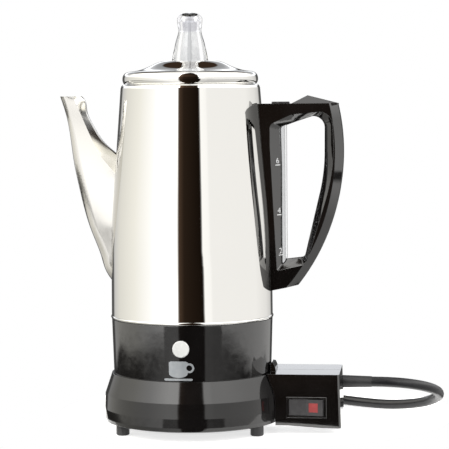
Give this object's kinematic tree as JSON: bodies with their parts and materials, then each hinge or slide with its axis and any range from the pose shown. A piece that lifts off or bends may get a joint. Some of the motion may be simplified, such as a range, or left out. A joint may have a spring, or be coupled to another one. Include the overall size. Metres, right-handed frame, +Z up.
{
  "type": "electric coffee percolator",
  "caption": "Tall polished steel pot with gooseneck spout, D handle with sight gauge, clear lid knob, heated black base, and a plug-in switched mains lead.",
  "frame": {"origin": "on the pot's axis, in the plane that the feet stand on", "axes": "+Z up; +X towards the handle and the mains connector; -X towards the spout; -Y the front with the indicator lens"},
  "size_m": [0.2564, 0.2164, 0.2798],
  "materials": {
    "polished_steel": "mirror-polished stainless steel",
    "satin_steel": "plain stainless steel sheet",
    "gloss_black": "glossy black moulded plastic",
    "ring_black": "glossy black heat-proof plastic",
    "rocker_grey": "fine-grained dark grey plastic",
    "satin_black": "fine-grained black plastic",
    "clear": "clear polished plastic",
    "lens_white": "translucent white plastic",
    "emblem_silver": "thin bright foil",
    "rubber_black": "black rubber",
    "silicone": "translucent silicone",
    "aluminium": "cast",
    "brass": "drawn brass",
    "nickel": "nickel-plated brass",
    "red_window": "translucent red plastic",
    "cord_black": "satin black cord sheath",
    "wire_red": "heat-proof wire sleeve"
  },
  "bodies": {
    "pot": {"pot_body": "polished_steel", "spout": "polished_steel", "handle": "gloss_black", "handle_hook": "satin_steel", "gauge_tube": "clear", "gauge_cap": "satin_black", "gauge_elbow": "satin_black", "gauge_vent": "satin_steel", "gauge_seals": "silicone", "collar": "gloss_black", "base_ring": "ring_black", "base_plate": "satin_black", "foot_1": "rubber_black", "foot_2": "rubber_black", "foot_3": "rubber_black", "centre_stud": "satin_steel", "stud_nut": "satin_steel", "indicator_lens": "lens_white", "indicator_lamp": "clear", "emblem": "emblem_silver", "pump_well": "satin_steel", "well_gasket": "silicone", "heater_block": "aluminium", "heating_element": "satin_steel", "thermostat": "satin_steel", "thermostat_strap": "satin_steel", "thermal_fuse": "brass", "inlet_socket": "satin_black", "inlet_pins": "nickel", "lead_wires": "wire_red"},
    "pump": {"stem_tube": "satin_steel", "stem_foot": "satin_steel"},
    "washer": {"pump_washer": "satin_steel"},
    "basket": {"basket": "satin_steel"},
    "spreader": {"spreader": "satin_steel"},
    "lid": {"lid": "polished_steel", "lid_skirt": "satin_steel", "knob_gasket": "silicone"},
    "knob": {"knob": "clear"},
    "connector": {"connector_front_shell": "gloss_black", "connector_rear_shell": "gloss_black", "connector_screws": "satin_steel", "socket_insert": "satin_black", "connector_contacts": "brass", "switch_body": "gloss_black", "strain_relief": "rubber_black", "cord": "cord_black", "cord_coil": "cord_black", "cord_tail": "cord_black", "plug_body": "satin_black", "plug_pins": "nickel"},
    "rocker": {"switch_rocker": "rocker_grey", "rocker_window": "red_window"}
  },
  "joints": [
    {"name": "pump_lift", "type": "slide", "parent": "pot", "child": "pump", "axis": [0, 0, 1], "range_m": [0, 0.2]},
    {"name": "washer_float", "type": "slide", "parent": "pump", "child": "washer", "axis": [0, 0, 1], "range_m": [0, 0.0025]},
    {"name": "basket_lift", "type": "slide", "parent": "pump", "child": "basket", "axis": [0, 0, 1], "range_m": [0, 0.09]},
    {"name": "spreader_lift", "type": "slide", "parent": "basket", "child": "spreader", "axis": [0, 0, 1], "range_m": [0, 0.04]},
    {"name": "lid_lift", "type": "slide", "parent": "spreader", "child": "lid", "axis": [0, 0, 1], "range_m": [0, 0.08]},
    {"name": "knob_turn", "type": "hinge", "parent": "lid", "child": "knob", "pos_m": [0, 0, 0.2477], "axis": [0, 0, 1], "range_deg": [0, 75]},
    {"name": "connector_pull", "type": "slide", "parent": "pot", "child": "connector", "axis": [1, 0, 0], "range_m": [0, 0.035]},
    {"name": "switch_rock", "type": "hinge", "parent": "connector", "child": "rocker", "pos_m": [0.0781, -0.0158, 0.018], "axis": [0, 0, 1], "range_deg": [0, 14]}
  ]
}
